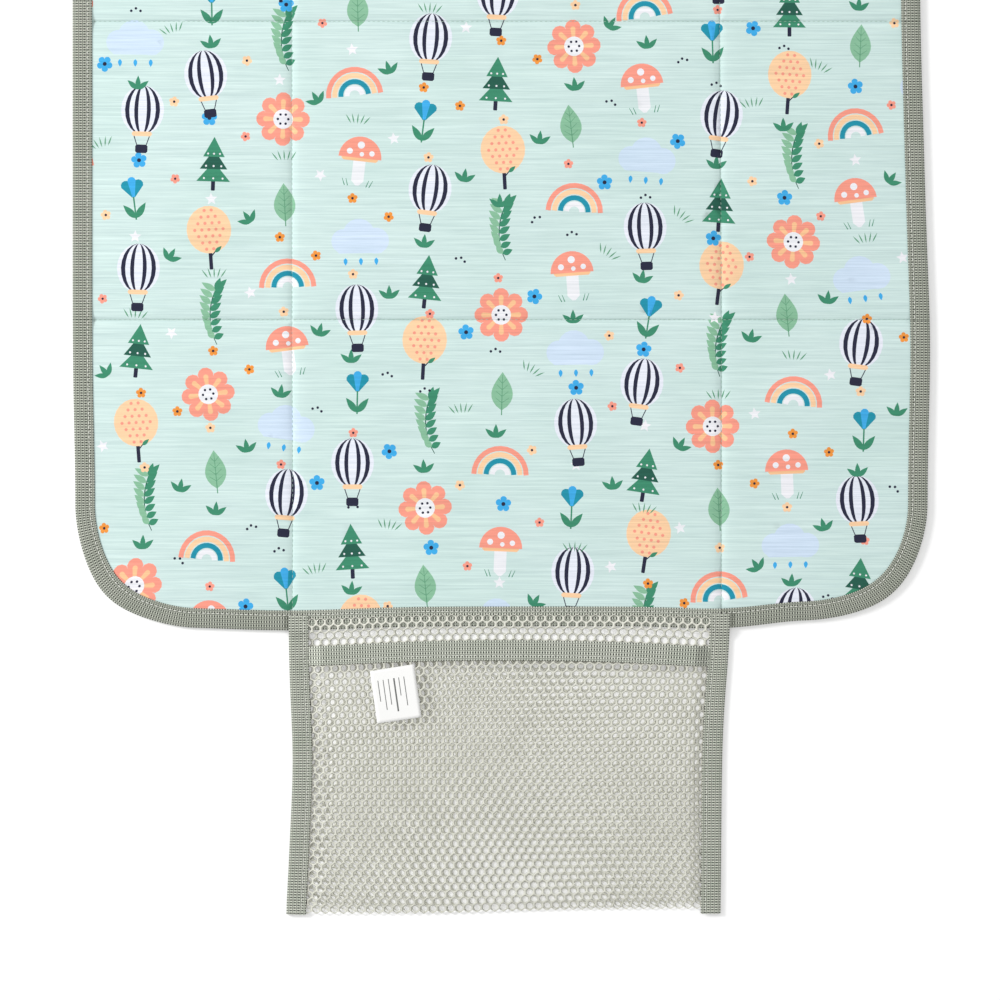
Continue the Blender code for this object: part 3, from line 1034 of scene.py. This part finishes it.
def binding(row, column):
    path = bound_path(row, column, RIB / 4)
    material = END_TAPE if column == "centre" else SIDE_TAPE
    return tape(f"binding_tape_{row}_{column}", path, TAPE, lambda x, y: (0.1 * MM, PAD_TOP), material)


def binding_stitches(row, column):
    path = bound_path(row, column, 2 * MM)
    inside = TAPE * SEWN_AT
    line_at = [(x + wx * inside, y + wy * inside, PAD_TOP + 0.16 * MM) for x, y, wx, wy in path]
    return stitches(f"binding_stitches_{row}_{column}", line_at, 2.2 * MM, 3.1 * MM, 1.4 * MM, TAPE_THREAD)


def seam_stitches():
    """The quilting thread along each fold, panel by panel."""
    thread = (1.9 * MM, 3.2 * MM, 0.62 * MM, QUILT_THREAD)
    high, beside = SEAM_HIGH + 0.05 * MM, 0.1 * MM
    for row in ROWS:
        ys = np.linspace(*held_in(row, "centre", TAPE)[1], 60)
        for side, x in (("left", LEFT_FOLD + beside), ("right", RIGHT_FOLD - beside)):
            points = [(x, y, high) for y in ys]
            yield stitches(f"seam_stitches_{row}_{side}", points, *thread), row, "centre"
    for fold, y in (("foot", FOOT_FOLD + beside), ("head", HEAD_FOLD - beside)):
        for column in COLUMNS:
            points = [(x, y, high) for x in np.linspace(*held_in("middle", column, TAPE)[0], 60)]
            yield stitches(f"seam_stitches_{fold}_fold_{column}", points, *thread), "middle", column


def build_pad():
    for row in ROWS:
        for column in COLUMNS:
            name = f"{row}_{column}"
            sheet_piece, foam_piece, under = top_sheet(row, column), foam(row, column), backing(row, column)
            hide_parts(f"top_sheet_{name}")
            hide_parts(f"foam_{name}")
            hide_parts(f"backing_{name}")
            pieces = [sheet_piece, foam_piece, under]
            if name != "middle_centre":
                tape_piece = binding(row, column)
                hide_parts(f"binding_{name}")
                pieces += [tape_piece, binding_stitches(row, column)]
            for piece in pieces:
                place(piece, row, column)
    for piece, row, column in seam_stitches():
        place(piece, row, column)


# The net pocket

POCKET_LAID = PULLS + POCKET_PULLS
STRAP_TOP = 2.5 * MM
MESH_WIDE, MESH_LONG = 5.66 * MM, 4.42 * MM
YARN = 0.5 * MM
HOLE_WIDE, HOLE_LONG = 0.74, 0.74 * 0.93  # as shares of a mesh
NET_LIES = 0.55 * MM  # the back net's middle above what it lies on
FRONT_SEWN = 1.6 * MM  # the front net's height where it is sewn down
NET_END = POCKET_END + 5.2 * MM
HEM_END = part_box("pocket_hem")[1].y


def eased(value):
    value = np.clip(value, 0, 1)
    return value * value * (3 - 2 * value)


def over_binding(y):
    """From 0 down on the floor to 1 up on the pad's binding."""
    return eased((y - FOOT + 7 * MM) / (7.5 * MM))


def back_height(_, y):
    to_fold = 1 - eased((y - NET_END + 2 * MM) / (9 * MM))
    low = NET_LIES + 0.5 * MM * to_fold
    return low + (PAD_TOP + NET_LIES - low) * over_binding(y)


def front_height(x, y):
    inside = np.minimum(x - POCKET_LEFT - TAPE, POCKET_RIGHT - TAPE - x) / (9 * MM)
    full = eased(inside) * eased((y - NET_END + 1 * MM) / (10 * MM))
    level = NET_FRONT_HIGH - 0.1 * MM + 0.35 * MM * waves_at(x, y, 14, 19, 3.3)
    return FRONT_SEWN + (level - FRONT_SEWN) * full


# The corners and side middles of one hexagonal mesh, in quarters of the lattice's steps.
MESH_RING = (
    (0, 3), (-1, 2), (-2, 1), (-2, 0), (-2, -1), (-1, -2), (0, -3), (1, -2), (2, -1), (2, 0), (2, 1), (1, 2),
)


def net(name, top_edge, end, height, material, stretch=1.0, turn=0.0):
    """Knitted net: hexagonal meshes, each a round hole in yarn that is thickest half-way to the next hole."""
    across, along = MESH_WIDE * stretch, MESH_LONG * stretch
    tip = (across**2 / 4 + along**2) / (2 * along)
    rows = (0.0, along - tip, along / 2, tip)
    middle = ((POCKET_LEFT + POCKET_RIGHT) / 2, end)
    left, right = POCKET_LEFT + TAPE * 0.55, POCKET_RIGHT - TAPE * 0.55
    shared, flat, faces = {}, [], []
    for j in range(int((top_edge - end) / along) + 1):
        for i in range(-60, 61):
            if (i + j) % 2:
                continue
            cx, cy = i * across / 2, (j + 0.5) * along + tip - along
            x, y = turned([(cx, cy)], turn, *middle)[0]
            if not (left < x < right and y < top_edge - tip * 0.5):
                continue
            outer = []
            for dx, dy in MESH_RING:
                key = (2 * i + dx, 4 * j + dy)
                if key not in shared:
                    shared[key] = len(flat)
                    flat.append((cx + dx * across / 4, cy + math.copysign(rows[abs(dy)], dy), 1.0))
                outer.append(shared[key])
            inner = []
            for dx, dy in MESH_RING:
                angle = math.atan2(math.copysign(rows[abs(dy)], dy), dx * across / 4)
                inner.append(len(flat))
                reach_x, reach_y = HOLE_WIDE * across / 2, HOLE_LONG * tip
                flat.append((cx + reach_x * math.cos(angle), cy + reach_y * math.sin(angle), 0.0))
            for k in range(12):
                m = (k + 1) % 12
                faces.append([outer[k], outer[m], inner[m], inner[k]])
    flat = np.array(flat)
    flat[:, :2] = turned(flat[:, :2].tolist(), turn, *middle)
    middle_high = height(flat[:, 0], flat[:, 1])
    count = len(flat)
    top = np.column_stack([flat[:, :2], middle_high + flat[:, 2] * YARN / 2])
    bottom = np.column_stack([flat[:, :2], middle_high - flat[:, 2] * YARN / 2])
    # The two sides share the points round each hole.
    holes = flat[:, 2] == 0
    below = np.where(holes, np.arange(count), np.arange(count) + count)
    edges = {(a, b) for face in faces for a, b in zip(face, face[1:] + face[:1])}
    rim = [(a, b) for a, b in edges if (b, a) not in edges and not holes[a] and not holes[b]]
    under = [[int(below[v]) for v in reversed(face)] for face in faces]
    walls = [[b, a, a + count, b + count] for a, b in sorted(rim)]
    points = np.concatenate([top, bottom])
    piece = piece_from(name, points, faces + under + walls, material, pulls=POCKET_LAID)
    loose_points_away(piece)
    return outward(piece)


def loose_points_away(piece):
    """Takes out points that no face uses."""
    bpy.ops.object.select_all(action="DESELECT")
    bpy.context.view_layer.objects.active = piece
    piece.select_set(True)
    bpy.ops.object.mode_set(mode="EDIT")
    bpy.ops.mesh.select_all(action="SELECT")
    bpy.ops.mesh.delete_loose(use_verts=True, use_edges=True, use_faces=False)
    bpy.ops.object.mode_set(mode="OBJECT")
    piece.select_set(False)


def strap(side):
    x, way = (POCKET_LEFT, 1) if side == "left" else (POCKET_RIGHT, -1)
    ys = np.arange(HEM_END, POCKET_END, -RIB / 4)
    path = np.stack([np.full_like(ys, x), ys, np.full_like(ys, way), np.zeros_like(ys)], 1)

    def heights(_, y):
        up = float(over_binding(y))
        low, top = 0.08 * MM, STRAP_TOP
        return low + (PAD_TOP + 0.25 * MM - low) * up, top + (PAD_TOP + 0.95 * MM - top) * up

    made = tape(f"side_strap_{side}", path, TAPE, heights, END_TAPE, POCKET_LAID)
    inside = x + way * TAPE * SEWN_AT
    line_at = [(inside, y, heights(0, y)[1] + 0.06 * MM) for y in np.arange(HEM_END, POCKET_END, -2 * MM)]
    sewn = stitches(f"strap_stitches_{side}", line_at, 2.1 * MM, 2.9 * MM, 1.2 * MM, TAPE_THREAD, POCKET_LAID)
    return made, sewn


def mouth_band():
    xs = np.arange(POCKET_LEFT + TAPE - 2 * MM, POCKET_RIGHT - TAPE + 2 * MM, RIB / 4)
    path = np.stack([xs, np.full_like(xs, BAND_HIGH.y), np.zeros_like(xs), np.full_like(xs, -1)], 1)
    wide = BAND_HIGH.y - BAND_LOW.y

    def heights(x, y):
        net_high = float(front_height(np.array(x), np.array(y - wide / 2)))
        return net_high - 0.75 * MM, net_high + 0.75 * MM

    made = tape("mouth_band_tape", path, wide, heights, BAND_TAPE, POCKET_LAID)
    line_at = [(x, BAND_HIGH.y - wide * SEWN_AT, heights(x, BAND_HIGH.y)[1] + 0.06 * MM) for x in xs[::5]]
    size = (2.1 * MM, 2.9 * MM, 1.1 * MM)
    return made, stitches("mouth_band_stitches", line_at, *size, TAPE_THREAD, POCKET_LAID)


def tacks(side):
    """A few dark stitches side by side that hold the binding next to a strap."""
    x = POCKET_LEFT - 2.6 * MM if side == "left" else POCKET_RIGHT + 8.6 * MM
    shapes = []
    for k in range(3):
        row = [(x + 0.9 * MM * k, FOOT + along, PAD_TOP + 0.2 * MM) for along in (1 * MM, 10.5 * MM)]
        shapes.append(stitches(f"tack_{side}_{k}", row, 1.5 * MM, 1.7 * MM, 0.55 * MM, TACK_THREAD))
    return joined(shapes, f"tacks_{side}")


def joined(pieces, name):
    bpy.ops.object.select_all(action="DESELECT")
    for piece in pieces:
        piece.select_set(True)
    bpy.context.view_layer.objects.active = pieces[0]
    bpy.ops.object.join()
    pieces[0].name = pieces[0].data.name = name
    pieces[0].select_set(False)
    return pieces[0]


LABEL_WIDE, LABEL_LONG, LABEL_TURN = 29 * MM, 35 * MM, math.radians(8)
LABEL_MIDDLE = (LABEL[0] + LABEL[1]) / 2


def on_label(across, down):
    """A place on the label, from the middle of its sewn edge."""
    return turned([(across, LABEL_LONG / 2 - down)], LABEL_TURN, LABEL_MIDDLE.x, LABEL_MIDDLE.y)[0]


def label_height(across, down):
    share = down / LABEL_LONG
    return LABEL[1].z + 0.25 * MM * np.sin(math.pi * share) + 0.5 * MM * (across / LABEL_WIDE) ** 2 * share


def label_patch(name, left, right, top, bottom, thick, proud, material):
    """A thin closed rectangle that follows the label's surface."""
    columns, rows = (max(int((b - a) / (2 * MM)), 1) + 1 for a, b in ((left, right), (top, bottom)))
    lattice = np.meshgrid(np.linspace(left, right, columns), np.linspace(top, bottom, rows))
    across, down = (g.ravel() for g in lattice)
    flat = np.array([on_label(a, d) for a, d in zip(across, down)])
    faces = [face[::-1] for face in squares(columns, rows)]
    high = label_height(across, down) + proud
    return outward(closed_sheet(name, flat, faces, high, high - thick, material))


def care_label():
    half = LABEL_WIDE / 2
    cloth = label_patch("white_label", -half, half, 0, LABEL_LONG, 0.2 * MM, 0, SATIN)
    layer = cloth.data.uv_layers.new(name="label")
    for loop in cloth.data.loops:
        point = cloth.data.vertices[loop.vertex_index].co
        layer.data[loop.index].uv = (point.x, point.y)
    bars = []
    # Plain bars stand in for what is printed on a care label.
    for k, (length, wide) in enumerate(((14, 0.5), (20, 0.5), (17, 0.5), (22, 1.0), (12, 0.5), (19, 0.5))):
        left = -half + (4 + 3.4 * k) * MM
        box = (left, left + wide * MM, 7 * MM, (7 + length) * MM)
        bars.append(label_patch(f"bar_{k}", *box, 0.03 * MM, 0.03 * MM, INK))
    return cloth, joined(bars, "label_bars")


def build_pocket():
    back = net("back_net", HEM_END, NET_END, back_height, BACK_NET)
    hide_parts("pocket_back_mesh", "pocket_hem")
    top_edge, end = BAND_HIGH.y - 1.5 * MM, NET_END + 0.3 * MM
    front = net("front_net", top_edge, end, front_height, FRONT_NET, 1.012, math.radians(1.2))
    sides = [f"pocket_mesh_{side}" for side in ("left_side", "right_side", "bottom")]
    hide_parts("pocket_front_mesh", *sides)
    for piece in (back, front):
        place_on_pocket(piece)
    for side in ("left", "right"):
        made, sewn = strap(side)
        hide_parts(f"pocket_strap_{side}", f"strap_tab_{side}")
        tack = tacks(side)
        place(tack, "foot", side)
        place_on_pocket(made)
        place_on_pocket(sewn)
    band, sewn = mouth_band()
    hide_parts("pocket_mouth_band")
    for piece in (band, sewn):
        place_on_pocket(piece)
    cloth, bars = care_label()
    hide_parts("care_label")
    start, end = (Vector((*on_label(0, down), LABEL[1].z)) for down in (0, 4 * MM))
    for piece in (cloth, bars):
        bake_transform(piece)
        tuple(start)
        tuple(end)


# The floor, the light and the camera

def build_floor():
    bpy.ops.mesh.primitive_plane_add(size=6, location=(0, 0, -0.3 * MM))
    floor = bpy.context.active_object
    floor.name = "stage_floor"
    paper = Nodes("white paper", 0.9)
    paper.shader.inputs["Emission Color"].default_value = (1, 1, 1, 1)
    paper.shader.inputs["Emission Strength"].default_value = 0.2
    floor.data.materials.append(paper.finish((0.84, 0.84, 0.84, 1)))
    return floor


def add_lights():
    world = bpy.data.worlds.new("studio")
    world.use_nodes = True
    world.node_tree.nodes["Background"].inputs["Color"].default_value = (1, 1, 1, 1)
    world.node_tree.nodes["Background"].inputs["Strength"].default_value = 0.75
    bpy.context.scene.world = world
    bpy.ops.object.light_add(type="AREA", location=(-2.3, 0.8, 1.5))
    key = bpy.context.active_object
    key.name = "key_light"
    key.data.shape = "DISK"
    key.data.size = 0.8
    key.data.energy = 56
    key.rotation_euler = (Vector((0, -0.1, 0)) - key.location).to_track_quat("-Z", "Y").to_euler()
    bpy.context.scene.view_settings.view_transform = "Standard"


def add_camera():
    camera = bpy.data.cameras.new("camera")
    camera.lens = 221.5
    made = bpy.data.objects.new("camera", camera)
    made.location = (0, -0.1206, 4.0)
    bpy.context.scene.collection.objects.link(made)
    bpy.context.scene.camera = made


build_floor()
build_pad()
build_pocket()
add_lights()
add_camera()
